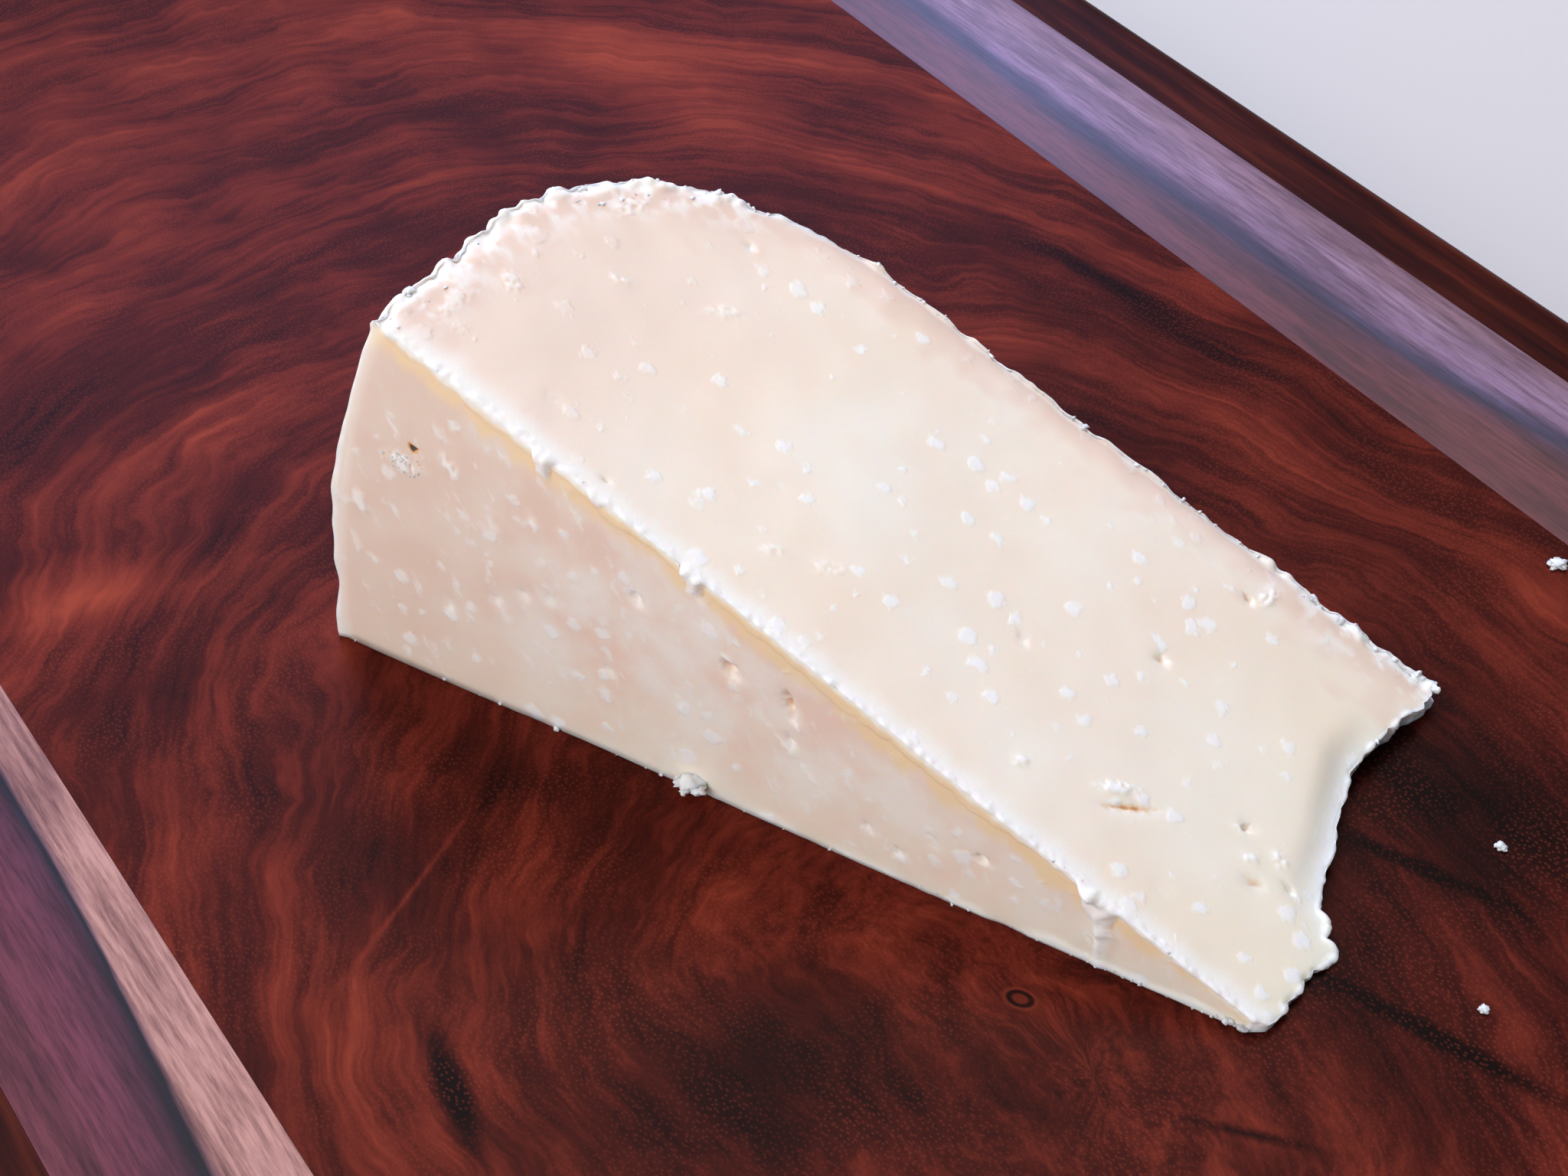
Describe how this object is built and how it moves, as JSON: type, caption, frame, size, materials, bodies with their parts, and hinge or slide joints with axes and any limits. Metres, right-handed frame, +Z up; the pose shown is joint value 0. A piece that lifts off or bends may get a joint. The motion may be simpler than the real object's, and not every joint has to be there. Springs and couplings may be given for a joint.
{
  "type": "cheese wedge on a wooden board",
  "caption": "Wedge of aged hard cheese lying on its cut side on a wooden serving board: an end-grain panel between two pale and purple rails, with a dark strip along each long edge.",
  "frame": {"origin": "middle of the board's underside", "axes": "+Z up, +X along the board's length with the wedge's thin end towards +X, +Y across the board towards the wedge's back"},
  "size_m": [0.38, 0.248, 0.0767],
  "materials": {
    "cheese": "pale ivory aged cheese, waxy cut faces with white specks, dry rind",
    "end_grain_wood": "dark red-brown hardwood end grain, oiled, matt",
    "rail_wood": "long-grain hardwood, purple-red heartwood and pale pink sapwood, satin oil",
    "edge_wood": "dark red-brown hardwood along the grain, oiled, rounded over along the board's long edges"
  },
  "bodies": {
    "root": {"cheese_wedge": "cheese", "end_grain_panel": "end_grain_wood", "front_rail": "rail_wood", "back_rail": "rail_wood", "front_edge": "edge_wood", "back_edge": "edge_wood", "cheese_crumb_1": "cheese", "cheese_crumb_2": "cheese", "cheese_crumb_3": "cheese", "cheese_crumb_4": "cheese"}
  },
  "joints": []
}
